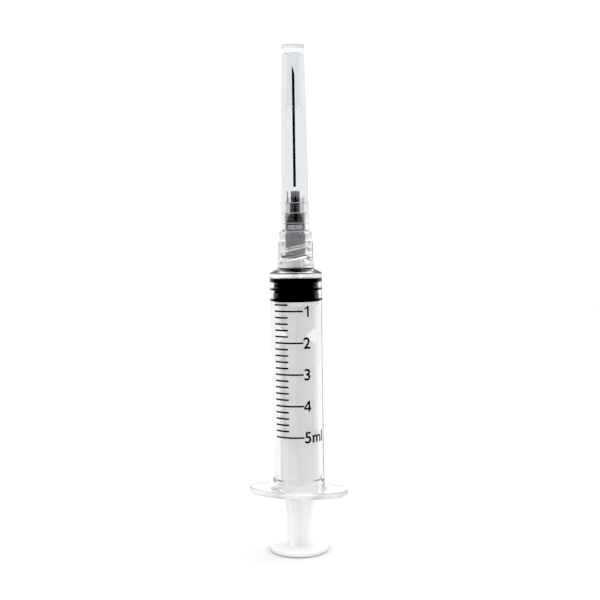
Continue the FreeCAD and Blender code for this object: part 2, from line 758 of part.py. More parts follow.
def grind(body, name, sketch):
    """Cuts a sketch right through the tube's width."""
    feature = body.newObject("PartDesign::Pocket", name)
    feature.Profile = sketch
    feature.SideType = "Symmetric"
    feature.Type = "Length"
    feature.setExpression("Length", formula("grinding_width"))
    return require_change(body, name, False)


# Glue bead: fills the cup in the hub's nose and rises to a cone round the cannula

def make_adhesive_bead():
    body = new_body("adhesive_bead")
    spin(body, "bead", [
        ("cannula_hole_radius", "glue_cup_level"),
        ("glue_cup_radius", "nose_top"),
        ("glue_foot_radius", "nose_top"),
        ("glue_foot_radius", "glue_foot_top"),
        ("glue_top_radius", "glue_top"),
        ("cannula_hole_radius", "glue_top"),
    ])
    return body


# Needle cap: tapered sheath with a solid end, a stepped bore, four inner ribs and a flared skirt

def make_needle_cap():
    body = new_body("needle_cap")
    spin(body, "cap_form", [
        ("0", "cap_bottom"),
        ("cap_skirt_radius", "cap_bottom"),
        ("cap_skirt_radius", "cap_skirt_top"),
        ("cap_foot_radius", "cap_flare_top"),
        ("cap_waist_radius", "cap_step"),
        ("cap_end_radius", "cap_top"),
        ("0", "cap_top"),
    ])
    round_edges(body, "cap_end_round", circles(body.Shape, size("cap_end_radius"), size("cap_top")),
                "cap_end_rounding")
    spin(body, "cap_bore", [
        ("0", "cap_bottom"),
        ("cap_skirt_bore_radius", "cap_bottom"),
        ("cap_skirt_bore_radius", "cap_skirt_top"),
        ("cap_mouth_radius", "cap_skirt_top"),
        ("cap_mouth_radius", "cap_mouth_top"),
        ("cap_grip_radius", "cap_mouth_top"),
        ("cap_grip_radius", "cap_grip_top"),
        ("cap_fin_bore_radius", "cap_grip_top"),
        ("cap_step_bore_radius", "cap_step"),
        ("cap_core_radius", "cap_step"),
        ("cap_tip_bore_radius", "cap_ceiling"),
        ("0", "cap_ceiling"),
    ], cut=True)
    sketch = new_sketch(body, "cap_rib_sketch", turn="cap_rib_turn")
    draw_outline(sketch, [
        ("cap_core_radius", "cap_grip_top"),
        ("cap_rib_outer_radius", "cap_grip_top"),
        ("cap_rib_outer_radius", "cap_step"),
        ("cap_core_radius", "cap_step"),
    ])
    rib = pad(body, "cap_rib", sketch, "cap_rib_thickness", symmetric=True)
    around(body, "cap_ribs", rib, CAP_RIB_COUNT)
    turn_body(body, "hub_turn")
    return body


PIECES = [
    make_barrel(),
    make_plunger_rod(),
    make_stopper(),
    make_needle_hub(),
    make_cannula(),
    make_adhesive_bead(),
    make_needle_cap(),
]
doc.recompute()

for item in doc.Objects:
    if "Invalid" in item.State or "Error" in item.State:
        raise RuntimeError("%s is in state %s" % (item.Name, item.State))
for piece in PIECES:
    if piece.Shape.isNull() or not piece.Shape.isValid():
        raise RuntimeError("%s has no valid shape" % piece.Label)

os.makedirs("parts", exist_ok=True)
for piece in PIECES:
    piece.Shape.exportStep("parts/%s.step" % piece.Label)
    box = piece.Shape.BoundBox
    print("%-14s solids %d volume %9.3f  z %8.3f to %8.3f  width %.3f" % (
        piece.Label, len(piece.Shape.Solids), piece.Shape.Volume, box.ZMin, box.ZMax, box.XLength))
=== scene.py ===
# %% [markdown]
# # A clear luer lock syringe, dressed in Blender
# The syringe stands on its thumb press with the needle up and a clear cap over the needle. Its solid pieces
# come from the CAD frame at their real size, in metres, and are never moved here. This lesson gives each of
# them a finish made of nodes, adds the printed scale and a finer stopper, and then sets the floor, the
# light and the camera. Clear mouldings are the hard part: what you see of them is only what they bend,
# mirror and swallow.

import math

import bpy
from mathutils import Matrix, Vector


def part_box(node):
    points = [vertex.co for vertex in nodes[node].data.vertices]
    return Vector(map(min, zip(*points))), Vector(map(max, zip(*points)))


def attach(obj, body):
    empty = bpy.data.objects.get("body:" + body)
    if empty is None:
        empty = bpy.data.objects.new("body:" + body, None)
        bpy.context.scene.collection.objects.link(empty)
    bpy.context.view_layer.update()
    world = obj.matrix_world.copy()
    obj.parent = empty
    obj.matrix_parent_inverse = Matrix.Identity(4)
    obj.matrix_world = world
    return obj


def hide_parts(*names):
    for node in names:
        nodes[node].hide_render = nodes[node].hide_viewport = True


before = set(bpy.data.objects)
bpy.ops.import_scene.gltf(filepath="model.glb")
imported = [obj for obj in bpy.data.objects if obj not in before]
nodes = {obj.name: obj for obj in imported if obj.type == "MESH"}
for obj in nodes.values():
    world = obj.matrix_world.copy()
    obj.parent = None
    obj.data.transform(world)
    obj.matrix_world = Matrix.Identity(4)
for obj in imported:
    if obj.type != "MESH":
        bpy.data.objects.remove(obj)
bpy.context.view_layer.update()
print("CAD pieces:", ", ".join(sorted(nodes)))

# %% [markdown]
# ## Sizes read from the frame
# What is added here has to meet the CAD pieces exactly. The stopper's height is read from its own box. Some
# sizes can't be read from a box, such as the tube's outside and its bore, because a box only has a piece's
# outermost corners. They are stated once as real sizes, here or where they are first needed.

# %% Sizes
MM = 0.001
BARREL_RADIUS = 7.0 * MM
BORE_RADIUS = 6.2 * MM

stopper_low, stopper_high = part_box("stopper")
print("stopper from %.1f to %.1f mm" % (stopper_low.z / MM, stopper_high.z / MM))

# %% [markdown]
# ## Helpers for modelling
# An operator works on all that is selected, so each step starts by deselecting. Small helpers keep the
# later cells short. The last one draws a row of points the way it is done by hand: a plane is merged to one
# point, and the point is extruded along the row.

# %% Selecting and settling
def deselect_all():
    if bpy.context.object and bpy.context.object.mode != "OBJECT":
        bpy.ops.object.mode_set(mode="OBJECT")
    bpy.ops.object.select_all(action="DESELECT")


def activate(piece):
    """Makes one piece the only selected and active one."""
    deselect_all()
    piece.select_set(True)
    bpy.context.view_layer.objects.active = piece
    return piece


def settle(piece):
    """Puts the piece's place, turn and size into its mesh, as the frame's own pieces have them."""
    activate(piece)
    bpy.ops.object.transform_apply(location=True, rotation=True, scale=True)
    return piece


def apply_modifier(piece, kind, **settings):
    """Adds a modifier, sets it up and applies it."""
    activate(piece)
    modifier = piece.modifiers.new(kind.title(), kind)
    for name, value in settings.items():
        setattr(modifier, name, value)
    bpy.ops.object.modifier_apply(modifier=modifier.name)
    return piece


# %% Meshes
MERGE_DISTANCE = 0.0001 * MM


def outward(piece):
    """Merges doubles and points every face outwards."""
    activate(piece)
    bpy.ops.object.mode_set(mode="EDIT")
    bpy.ops.mesh.select_all(action="SELECT")
    bpy.ops.mesh.remove_doubles(threshold=MERGE_DISTANCE)
    bpy.ops.mesh.normals_make_consistent(inside=False)
    bpy.ops.object.mode_set(mode="OBJECT")
    return piece


def join(pieces, name):
    """Joins pieces into the first and names it."""
    activate(pieces[0])
    for piece in pieces:
        piece.select_set(True)
    bpy.ops.object.join()
    pieces[0].name = name
    pieces[0].data.name = name
    return pieces[0]


def triangles(piece):
    """The number of triangles that the piece's faces make."""
    return sum(len(face.vertices) - 2 for face in piece.data.polygons)


def draw_row(points):
    """A new piece with one edge after another along a row of points. It stays in edit mode, all selected."""
    deselect_all()
    bpy.ops.mesh.primitive_plane_add(size=MM, location=(0, 0, 0))
    bpy.ops.object.mode_set(mode="EDIT")
    bpy.ops.mesh.select_all(action="SELECT")
    bpy.ops.mesh.merge(type="CENTER")
    bpy.ops.transform.translate(value=points[0])
    for point, last in zip(points[1:], points):
        step = tuple(here - there for here, there in zip(point, last))
        bpy.ops.mesh.extrude_region_move(TRANSFORM_OT_translate={"value": step})
    bpy.ops.mesh.select_all(action="SELECT")
    return bpy.context.object


# %% [markdown]
# ## A stopper that wets the wall
# The real stopper is moulded rubber, squeezed by the bore. Where its ribs press on the barrel there is no
# air left, so black shows right out to the barrel's edge, and between the ribs a film of air turns the wall
# light. The same happens at the end of the bore, which it touches with a middle disc and an outer ring, so
# that a pale ring stays between them. The CAD stopper keeps a hair of clearance, so that it can slide, and
# this one replaces its look. Its half outline is a row of points of radius and height, from the middle of
# the base to the middle of the top.

# %% Stopper outline
RIB_PRESS = 0.006 * MM
LIP_CHAMFER = 0.12 * MM
LOW_RIB_TOP = 0.75 * MM
BULGE_RADIUS = 6.1 * MM
BULGE_FOOT = 1.05 * MM
BULGE_TOP = 1.45 * MM
WAIST_RADIUS = 5.85 * MM
LOW_WAIST_TOP = 2.75 * MM
MIDDLE_RIB_FOOT = 3.0 * MM
MIDDLE_RIB_TOP = 3.5 * MM
HIGH_WAIST_FOOT = 3.85 * MM
HIGH_WAIST_TOP = 4.75 * MM
TOP_RIB_FOOT = 5.1 * MM
BORE_END = 73.3 * MM
TOP_CHAMFER = 0.04 * MM
TOUCH_PRESS = 0.004 * MM
TOUCH_RADIUS = 3.3 * MM
RING_INNER = 4.7 * MM


def stopper_outline(base, top):
    seal = BORE_RADIUS + RIB_PRESS
    touch = BORE_END + TOUCH_PRESS
    return [
        (0, base),
        (seal - LIP_CHAMFER, base),
        (seal, base + LIP_CHAMFER),
        (seal, base + LOW_RIB_TOP),
        (BULGE_RADIUS, base + BULGE_FOOT),
        (BULGE_RADIUS, base + BULGE_TOP),
        (WAIST_RADIUS, base + LOW_WAIST_TOP),
        (seal, base + MIDDLE_RIB_FOOT),
        (seal, base + MIDDLE_RIB_TOP),
        (WAIST_RADIUS, base + HIGH_WAIST_FOOT),
        (WAIST_RADIUS, base + HIGH_WAIST_TOP),
        (seal, base + TOP_RIB_FOOT),
        (seal, BORE_END - TOP_CHAMFER),
        (seal - TOP_CHAMFER, touch),
        (RING_INNER, touch),
        (RING_INNER - LIP_CHAMFER, top),
        (TOUCH_RADIUS + LIP_CHAMFER, top),
        (TOUCH_RADIUS, touch),
        (0, touch),
    ]


outline = stopper_outline(stopper_low.z, stopper_high.z)
print("stopper outline:", len(outline), "points")

# %% [markdown]
# ## Spin it about the axis
# A lathe is the natural way to shape a turned piece. The outline could also be a curve with a Screw
# modifier, but the spin operator keeps the points where they are drawn. A small bevel then softens every
# lip, as moulding does.

# %% Spin the stopper
SPIN_STEPS = 128
LIP_BEVEL = 0.09 * MM
LIP_SEGMENTS = 3
LIP_ANGLE = math.radians(20)
SMOOTH_ANGLE = math.radians(35)


def spun(name, half_outline):
    """A closed piece turned about the upright axis."""
    piece = draw_row([(radius, 0, height) for radius, height in half_outline])
    piece.name = name
    piece.data.name = name
    bpy.ops.mesh.spin(steps=SPIN_STEPS, angle=math.tau, center=(0, 0, 0), axis=(0, 0, 1))
    bpy.ops.object.mode_set(mode="OBJECT")
    return outward(piece)


stopper = spun("stopper_rubber", outline)
apply_modifier(stopper, "BEVEL", width=LIP_BEVEL, segments=LIP_SEGMENTS, limit_method="ANGLE",
               angle_limit=LIP_ANGLE)
activate(stopper)
bpy.ops.object.shade_smooth_by_angle(angle=SMOOTH_ANGLE)
print("stopper_rubber:", triangles(stopper), "triangles")

# %% [markdown]
# ## The printed scale
# The barrel is printed in one pass with black ink: a long line for each millilitre, a short one for each
# fifth, plain digits and the unit. A pattern in the material could draw the lines, but it would blur in the
# export. Ink has a thickness that you can feel, so the lines are real raised strips. One upright cross
# section is spun through the line's arc, and copies of it go down the barrel by a fixed step.

# %% One line of ink
INK_WIDTH = 0.43 * MM
INK_PROUD = 0.02 * MM
INK_SUNK = 0.004 * MM
ARC_STEP = 2.0
CAMERA_AZIMUTH = 13.7


def facing(angle):
    """The world angle of a place round the barrel, given from the camera's side towards the right."""
    return math.radians(CAMERA_AZIMUTH - 90 + angle)


def ink_strip(name, left, right):
    """A raised strip round part of the barrel, at height zero."""
    deselect_all()
    middle = BARREL_RADIUS + (INK_PROUD - INK_SUNK) / 2
    bpy.ops.mesh.primitive_plane_add(size=1, location=(middle, 0, 0), rotation=(math.pi / 2, 0, 0))
    piece = bpy.context.object
    piece.name = name
    piece.scale = (INK_PROUD + INK_SUNK, INK_WIDTH, 1)
    settle(piece)
    piece.rotation_euler = (0, 0, facing(right))
    settle(piece)
    sweep = math.radians(right - left)
    bpy.ops.object.mode_set(mode="EDIT")
    bpy.ops.mesh.select_all(action="SELECT")
    steps = round(math.degrees(sweep) / ARC_STEP)
    bpy.ops.mesh.spin(steps=steps, angle=sweep, center=(0, 0, 0), axis=(0, 0, 1))
    bpy.ops.object.mode_set(mode="OBJECT")
    return piece


SCALE_LEFT = -53.0
SHORT_RIGHT = -19.0
LONG_RIGHT = 14.0

long_line = ink_strip("long_line", SCALE_LEFT, LONG_RIGHT)
short_line = ink_strip("short_line", SCALE_LEFT, SHORT_RIGHT)
print("long line of %d degrees, short line of %d" % (LONG_RIGHT - SCALE_LEFT, SHORT_RIGHT - SCALE_LEFT))

# %% [markdown]
# ## All lines of the scale
# The two patterns are copied down the barrel and joined, because the real scale is one print. An Array
# modifier could do it too, but every fifth line is long, so a loop with two patterns is simpler to read.

# %% Scale lines
SCALE_ONE = 64.85 * MM
ML_LENGTH = 8.2875 * MM
SCALE_ML = 5
STEPS_PER_ML = 5


def copy_at(piece, height):
    """A copy with its own mesh, raised to a height."""
    copy = piece.copy()
    copy.data = piece.data.copy()
    bpy.context.scene.collection.objects.link(copy)
    copy.location.z = height
    return settle(copy)


def make_scale_lines():
    lines = []
    for step in range(1, SCALE_ML * STEPS_PER_ML + 1):
        height = SCALE_ONE - (step / STEPS_PER_ML - 1) * ML_LENGTH
        pattern = long_line if step % STEPS_PER_ML == 0 else short_line
        lines.append(copy_at(pattern, height))
    for pattern in (long_line, short_line):
        bpy.data.objects.remove(pattern)
    return outward(join(lines, "scale_lines"))


scale_lines = make_scale_lines()
print("scale_lines:", triangles(scale_lines), "triangles")

# %% [markdown]
# ## Digits, first flat
# A digit starts flat, and most are text objects in Blender's own font with a thicker stroke. The one and
# the four are outlines of a few points instead: the flag of a printed one differs from the font's, and the
# font's four fills up when its stroke grows. A slit joins the four's hole to the outside, so that one
# closed row of points draws both. All are drawn a thousand times too big, because tiny outlines fill badly.

# %% Flat digits
DIGIT_SIZE = 4.2
STROKE_GROWTH = 0.065
ONE_HEIGHT = 2.87
ONE_STEM = 0.5
ONE_OUTLINE = [
    (0, 0), (ONE_STEM, 0), (ONE_STEM, ONE_HEIGHT), (0.12, ONE_HEIGHT),
    (-0.3, 2.4), (-0.76, 2.16), (-0.76, 1.8), (0, 2.2),
]
FOUR_OUTLINE = [
    (1.2, 0), (1.69, 0), (1.69, 0.57), (2.06, 0.57),
    (2.06, 0.99), (1.69, 0.99), (1.69, 2.85), (1.27, 2.85),
    (0, 1.03), (0, 0.57), (1.2, 0.57), (1.2, 0.99),
    (0.46, 0.99), (1.2, 2.06), (1.2, 0.99), (1.2, 0.57),
]


def flat_text(body):
    deselect_all()
    bpy.ops.object.text_add(location=(0, 0, 0))
    text = bpy.context.object.data
    text.body = body
    text.size = DIGIT_SIZE
    text.offset = STROKE_GROWTH
    bpy.ops.object.convert(target="MESH")
    return bpy.context.object


def flat_outline(points):
    piece = draw_row([(x, y, 0) for x, y in points])
    bpy.ops.mesh.edge_face_add()
    bpy.ops.object.mode_set(mode="OBJECT")
    return piece


flat_digits = {1: flat_outline(ONE_OUTLINE), 4: flat_outline(FOUR_OUTLINE)}
for number in (2, 3, 5):
    flat_digits[number] = flat_text(str(number))
flat_unit = flat_text("ml")
print("flat marks:", len(flat_digits) + 1)

# %% [markdown]
# ## Wrap the digits and thicken them
# On the real barrel the print follows the round wall. So each mark is shrunk to its size, cut into small
# faces, stood in front of its place, and pressed straight onto a fine guide tube by a Shrinkwrap modifier.
# Solidify then gives the ink its thickness, as the lines have it. The guide tube is only a tool and is
# removed.

# %% Stand a mark in its place
FLAT_MERGE = 0.001
MARK_CUTS = 4
STAND_OFF = 2 * MM


def stand_mark(piece, angle, height):
    """Cuts a flat mark into small faces and stands it upright in front of its place on the tube."""
    activate(piece)
    bpy.ops.object.origin_set(type="ORIGIN_GEOMETRY", center="BOUNDS")
    bpy.ops.object.mode_set(mode="EDIT")
    bpy.ops.mesh.select_all(action="SELECT")
    bpy.ops.mesh.quads_convert_to_tris()
    bpy.ops.mesh.remove_doubles(threshold=FLAT_MERGE)
    bpy.ops.mesh.subdivide(number_cuts=MARK_CUTS)
    bpy.ops.object.mode_set(mode="OBJECT")
    place = facing(angle)
    outside = BARREL_RADIUS + STAND_OFF
    piece.scale = (MM, MM, MM)
    piece.rotation_euler = (math.pi / 2, 0, place + math.pi / 2)
    piece.location = (outside * math.cos(place), outside * math.sin(place), height)
    return settle(piece)


# %% Press it on
GUIDE_SIDES = 360
GUIDE_LENGTH = 60 * MM
GUIDE_MIDDLE = 45 * MM
DIGIT_ANGLE = 22.3
UNIT_ANGLE = 48.5


def guide_tube():
    """A fine tube of the barrel's size that the marks are pressed on."""
    deselect_all()
    bpy.ops.mesh.primitive_cylinder_add(
        vertices=GUIDE_SIDES, radius=BARREL_RADIUS - INK_SUNK, depth=GUIDE_LENGTH,
        location=(0, 0, GUIDE_MIDDLE), end_fill_type="NOTHING")
    return bpy.context.object


def press_on(piece, angle, tube):
    """Moves the points straight inwards, along the middle line of the mark, until they meet the tube."""
    place = facing(angle)
    activate(piece)
    piece.rotation_euler = (0, 0, -place)
    settle(piece)
    apply_modifier(piece, "SHRINKWRAP", target=tube, wrap_method="PROJECT", use_project_x=True,
                   use_negative_direction=True, use_positive_direction=False)
    piece.rotation_euler = (0, 0, place)
    settle(piece)
    return apply_modifier(piece, "SOLIDIFY", thickness=INK_PROUD + INK_SUNK, offset=1)


def make_digits():
    tube = guide_tube()
    marks = [(piece, DIGIT_ANGLE, number) for number, piece in flat_digits.items()]
    marks.append((flat_unit, UNIT_ANGLE, SCALE_ML))
    for piece, angle, number in marks:
        stand_mark(piece, angle, SCALE_ONE - (number - 1) * ML_LENGTH)
        press_on(piece, angle, tube)
    bpy.data.objects.remove(tube)
    return outward(join([mark[0] for mark in marks], "scale_digits"))


scale_digits = make_digits()
print("scale_digits:", triangles(scale_digits), "triangles")

# %% [markdown]
# ## Shader maths in plain Python
# A node tree is easier to read as an expression. `Wire` wraps a socket: adding, multiplying or comparing
# wires adds the Math node that does it. `Nodes.add` makes any node from its type, its settings and the
# values of its sockets, and gives back its outputs as wires.

# %% Wires
class Wire:
    def __init__(self, maker, socket):
        self.maker = maker
        self.socket = socket

    def _math(self, operation, first, second):
        return self.maker.add("ShaderNodeMath", {"operation": operation}, {0: first, 1: second})["Value"]

    def __add__(self, other):
        return self._math("ADD", self, other)

    __radd__ = __add__

    def __mul__(self, other):
        return self._math("MULTIPLY", self, other)

    __rmul__ = __mul__

    def __sub__(self, other):
        return self._math("SUBTRACT", self, other)

    def __rsub__(self, other):
        return self._math("SUBTRACT", other, self)

    def __lt__(self, other):
        return self._math("LESS_THAN", self, other)

    def __gt__(self, other):
        return self._math("GREATER_THAN", self, other)


# %% Nodes
class Outputs:
    """A made node, whose outputs are read as wires by name."""

    def __init__(self, maker, node):
        self.maker = maker
        self.node = node

    def __getitem__(self, name):
        return Wire(self.maker, self.node.outputs[name])


class Nodes:
    def __init__(self, tree):
        self.tree = tree

    def add(self, kind, settings=None, sockets=None):
        node = self.tree.nodes.new(kind)
        for name, value in (settings or {}).items():
            setattr(node, name, value)
        for name, value in (sockets or {}).items():
            if isinstance(value, Wire):
                self.tree.links.new(value.socket, node.inputs[name])
            else:
                node.inputs[name].default_value = value
        return Outputs(self, node)


# %% [markdown]
# ## Helpers for materials
# Every finish starts as an empty node tree and ends at an output. Noise on Object coordinates stays fixed
# to the piece when it moves, which noise on world coordinates would not. Its scale counts waves for each
# metre, so fine grain has a scale in the thousands. All pieces here stand about one upright axis, so a
# place on them is best told by its distance from that axis and its height.

# %% Start and end of a material
def new_material(name):
    """An empty node material and the maker of its nodes."""
    material = bpy.data.materials.new(name)
    material.use_nodes = True
    material.node_tree.nodes.clear()
    return material, Nodes(material.node_tree)


def finish_material(material, maker, surface, volume=None):
    """Links a shader, and a volume if there is one, to the output."""
    output = maker.add("ShaderNodeOutputMaterial", {}, {"Surface": surface})
    if volume:
        maker.tree.links.new(volume.socket, output.node.inputs["Volume"])
    print(material.name, "has", len(material.node_tree.nodes), "nodes")
    return material


# %% Patterns and places
def grey(value):
    return (value, value, value, 1)


def object_noise(maker, scale, detail, stretch=(1, 1, 1)):
    place = maker.add("ShaderNodeTexCoord")["Object"]
    mapped = maker.add("ShaderNodeMapping", {}, {"Vector": place, "Scale": stretch})["Vector"]
    return maker.add("ShaderNodeTexNoise", {}, {"Vector": mapped, "Scale": scale, "Detail": detail})["Fac"]


def grained(maker, pattern, strength, distance):
    """A normal that follows the heights of a pattern."""
    return maker.add("ShaderNodeBump", {}, {
        "Height": pattern, "Strength": strength, "Distance": distance})["Normal"]


def blend_colours(maker, factor, first, second):
    return maker.add("ShaderNodeMix", {"data_type": "RGBA"}, {
        "Factor": factor, "A": first, "B": second})["Result"]


def turned_place(maker):
    """The distance from the upright axis and the height, in metres."""
    place = maker.add("ShaderNodeTexCoord")["Object"]
    height = maker.add("ShaderNodeSeparateXYZ", {}, {"Vector": place})["Z"]
    flat = maker.add("ShaderNodeVectorMath", {"operation": "MULTIPLY"}, {0: place, 1: (1, 1, 0)})["Vector"]
    radius = maker.add("ShaderNodeVectorMath", {"operation": "LENGTH"}, {0: flat})["Value"]
    return radius, height


def band(height, middle, width):
    """One inside a level band, and nothing outside it."""
    return (height > middle - width / 2) * (height < middle + width / 2)


# %% [markdown]
# ## Clear moulded plastic
# Barrel and cap are clear polypropylene. It bends light like glass, but it is never perfectly clean: the
# skin has a soft orange peel, and a few places are cloudy. A Glass shader would be too perfect, so a
# Principled shader transmits all light and a milky one is mixed in by a share that may vary over the piece.
# The specular tint keeps head-on reflections low, as they are when the side of the room behind the camera
# is unlit, while the grazing rim still mirrors the bright studio.

# %% Clear plastic
PLASTIC_IOR = 1.49
HEAD_ON_GLOSS = grey(0.12)
SKIN_ROUGHNESS = 0.03
MILK_ROUGHNESS = 0.4
CLEAR_MILK = grey(0.9)


def finish_clear(material, maker, colour, haze, roughness):
    """Ends a clear finish that has a share of haze and a roughness on top of the skin's."""
    peel = object_noise(maker, scale=160.0, detail=2.0)
    clear = maker.add("ShaderNodeBsdfPrincipled", {}, {
        "Base Color": colour,
        "Roughness": peel * SKIN_ROUGHNESS + SKIN_ROUGHNESS / 2 + roughness,
        "IOR": PLASTIC_IOR,
        "Specular Tint": HEAD_ON_GLOSS,
        "Transmission Weight": 1.0,
    })["BSDF"]
    milky = maker.add("ShaderNodeBsdfPrincipled", {}, {
        "Base Color": CLEAR_MILK,
        "Roughness": MILK_ROUGHNESS,
        "Specular Tint": HEAD_ON_GLOSS,
    })["BSDF"]
    mixed = maker.add("ShaderNodeMixShader", {}, {"Fac": haze, 1: clear, 2: milky})["Shader"]
    return finish_material(material, maker, mixed)


# %% [markdown]
# ## Barrel
# The barrel is one moulding, but it doesn't look the same all over. The steel core leaves the bore bright,
# and the outside looks a shade greyer. The finger flange is thick and a trace cloudy, most of all on its
# narrow side, which a glossy tool edge never touches. The lock collar is the darkest and a little dull,
# since its thread bends light many ways. One material with zones by radius, height and slope keeps the
# moulding in one piece.

# %% Barrel finish
BARREL_OUTSIDE = (0.908, 0.91, 0.912, 1)
FLANGE_TINT = (0.95, 0.95, 0.955, 1)
COLLAR_TINT = (0.84, 0.842, 0.85, 1)
BORE_TINT = (0.97, 0.97, 0.975, 1)
BORE_TOP = 73.6 * MM
BARREL_MID_WALL = 6.6 * MM
FLANGE_ZONE = 19.0 * MM
FLANGE_HAZE = 0.12
SIDE_HAZE = 0.45
SIDE_SLOPE = 0.5
SIDE_GAP = 0.1 * MM
LOCK_FLOOR = 76.2 * MM
LOCK_HAZE = 0.05
LOCK_ROUGHNESS = 0.05


def barrel_plastic():
    material, maker = new_material("clear_barrel")
    radius, height = turned_place(maker)
    flange = height < FLANGE_ZONE
    colour = blend_colours(maker, flange, BARREL_OUTSIDE, FLANGE_TINT)
    colour = blend_colours(maker, height > BORE_TOP, colour, COLLAR_TINT)
    colour = blend_colours(maker, (radius < BARREL_MID_WALL) * (height < BORE_TOP), colour, BORE_TINT)
    normal = maker.add("ShaderNodeNewGeometry")["Normal"]
    tilt = maker.add("ShaderNodeSeparateXYZ", {}, {"Vector": normal})["Z"]
    side = (tilt * tilt < SIDE_SLOPE) * (radius > BARREL_RADIUS + SIDE_GAP)
    lock = height > LOCK_FLOOR
    haze = flange * (side * (SIDE_HAZE - FLANGE_HAZE) + FLANGE_HAZE) + lock * LOCK_HAZE
    return finish_clear(material, maker, colour, haze, lock * LOCK_ROUGHNESS)


clear_barrel = barrel_plastic()

# %% [markdown]
# ## Needle cap
# The cap is a long tapered sheath of slightly bluish plastic, with a solid end. Its wall leans, so the
# radius of the wall's middle grows with the distance from the top, and what lies within it is the inner
# wall. The solid end is tinted paler than the wall, which is painted light: the light that the end gathers
# from above like a lens. Thin milky bands inside, where the ribs and steps start, are painted highlights:
# white lines where those ledges would catch the light. The rim of the end and the top of the hollow look
# frosted. Pieces of their own for such bands would be wrong on a one-piece moulding, so they are zones of
# its material.

# %% Cap zones
CAP_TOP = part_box("needle_cap")[1].z
CAP_END_INSIDE = CAP_TOP - 2.6 * MM
CAP_STEP = CAP_TOP - 16.4 * MM
CAP_RIM = CAP_TOP - 0.8 * MM
CAP_MID_WALL_TOP = 2.62 * MM
CAP_TAPER = 0.0163
# Painted highlights: the levels of the milky bands that stand in for light caught on the ledges inside.
HIGHLIGHT_RING_LEVELS = (85.3 * MM, 87.75 * MM, 90.4 * MM, 93.05 * MM)
HIGHLIGHT_RING_WIDTH = 0.2 * MM
POCKET_RADIUS = 1.7 * MM
POCKET_WIDTH = 0.4 * MM
print("cap: top at %.1f mm, solid from %.1f mm" % (CAP_TOP / MM, CAP_END_INSIDE / MM))

# %% Cap finish
CAP_INNER_LOW = (0.988, 0.994, 1.0, 1)
CAP_INNER_HIGH = (0.90, 0.91, 0.923, 1)
CAP_OUTER = (0.83, 0.848, 0.871, 1)
# Painted light: the solid end is tinted paler than the wall, for the light it gathers from above.
CAP_END_PAINTED_LIGHT = (0.98, 0.98, 0.985, 1)
# The share of milk in the painted highlight bands.
RING_PAINTED_HIGHLIGHT = 0.65
RIM_HAZE = 0.3
RIM_ROUGHNESS = 0.3
POCKET_HAZE = 0.6


def cap_plastic():
    material, maker = new_material("clear_cap")
    radius, height = turned_place(maker)
    within = radius < (CAP_TOP - height) * CAP_TAPER + CAP_MID_WALL_TOP
    inner = blend_colours(maker, height > CAP_STEP, CAP_INNER_LOW, CAP_INNER_HIGH)
    # The paler end tint is painted light.
    outer = blend_colours(maker, height > CAP_END_INSIDE, CAP_OUTER, CAP_END_PAINTED_LIGHT)
    colour = blend_colours(maker, within * (height < CAP_END_INSIDE), outer, inner)
    rim = height > CAP_RIM
    # The bands are painted highlights, white where the ledges inside would catch the light.
    highlight_rings = sum(band(height, level, HIGHLIGHT_RING_WIDTH) for level in HIGHLIGHT_RING_LEVELS)
    pocket = band(height, CAP_END_INSIDE, POCKET_WIDTH) * (radius < POCKET_RADIUS)
    haze = highlight_rings * within * RING_PAINTED_HIGHLIGHT + rim * RIM_HAZE + pocket * POCKET_HAZE
    return finish_clear(material, maker, colour, haze, rim * RIM_ROUGHNESS)


clear_cap = cap_plastic()

# %% [markdown]
# ## Milky plunger
# The rod is the same plastic without the clarity: light soaks into its thin ribs and comes out again
# softly. Subsurface scattering gives that, with a little plain transmission so that an edge behind a rib
# still shows. A plain white would look like paint. A fine grain and slow clouds are what the moulding tool
# leaves.

# %% Milky plastic
PLUNGER_DULL = grey(0.95)
PLUNGER_BRIGHT = grey(0.985)


def milky_plastic():
    material, maker = new_material("white_plunger")
    cloud = object_noise(maker, scale=140.0, detail=3.0)
    grain = object_noise(maker, scale=2600.0, detail=2.0)
    surface = maker.add("ShaderNodeBsdfPrincipled", {}, {
        "Base Color": blend_colours(maker, cloud, PLUNGER_DULL, PLUNGER_BRIGHT),
        "Roughness": cloud * 0.1 + 0.3,
        "IOR": PLASTIC_IOR,
        "Subsurface Weight": 0.15,
        "Subsurface Radius": (1.0, 1.0, 1.0),
        "Subsurface Scale": 0.8 * MM,
        "Transmission Weight": 0.1,
        "Normal": grained(maker, grain, strength=0.08, distance=0.03 * MM),
    })
    return finish_material(material, maker, surface["BSDF"])


white_plunger = milky_plastic()

# %% [markdown]
# ## Black rubber
# The stopper is matt black rubber with a trace of silicone oil, so it is nearly black with a faint uneven
# gloss. Pure black would hide its ribs, so the colour stays a little above it.

# %% Rubber
RUBBER_DEEP = grey(0.004)
RUBBER_OILY = grey(0.009)


def rubber():
    material, maker = new_material("black_rubber")
    smear = object_noise(maker, scale=300.0, detail=3.0)
    grain = object_noise(maker, scale=5000.0, detail=2.0)
    surface = maker.add("ShaderNodeBsdfPrincipled", {}, {
        "Base Color": blend_colours(maker, smear, RUBBER_DEEP, RUBBER_OILY),
        "Roughness": smear * 0.2 + 0.45,
        "Specular IOR Level": 0.05,
        "Normal": grained(maker, grain, strength=0.15, distance=0.02 * MM),
    })
    return finish_material(material, maker, surface["BSDF"])


black_rubber = rubber()

# %% [markdown]
# ## Smoky hub
# The hub's colour tells the needle's gauge. It is a clear plastic with black dye in it, so thin walls look
# grey and thick places nearly black. That is what an absorbing volume does, and a surface colour can't. The
# volume is even, so the surface colour adds the rest: the dome and the lowest rim, where the most plastic
# lies one behind the other, are the darkest, and the nose and the socket are a little darker than the fins.
# The lowest rim's dark tone is partly painted shade, the shade that the lugs cast there.

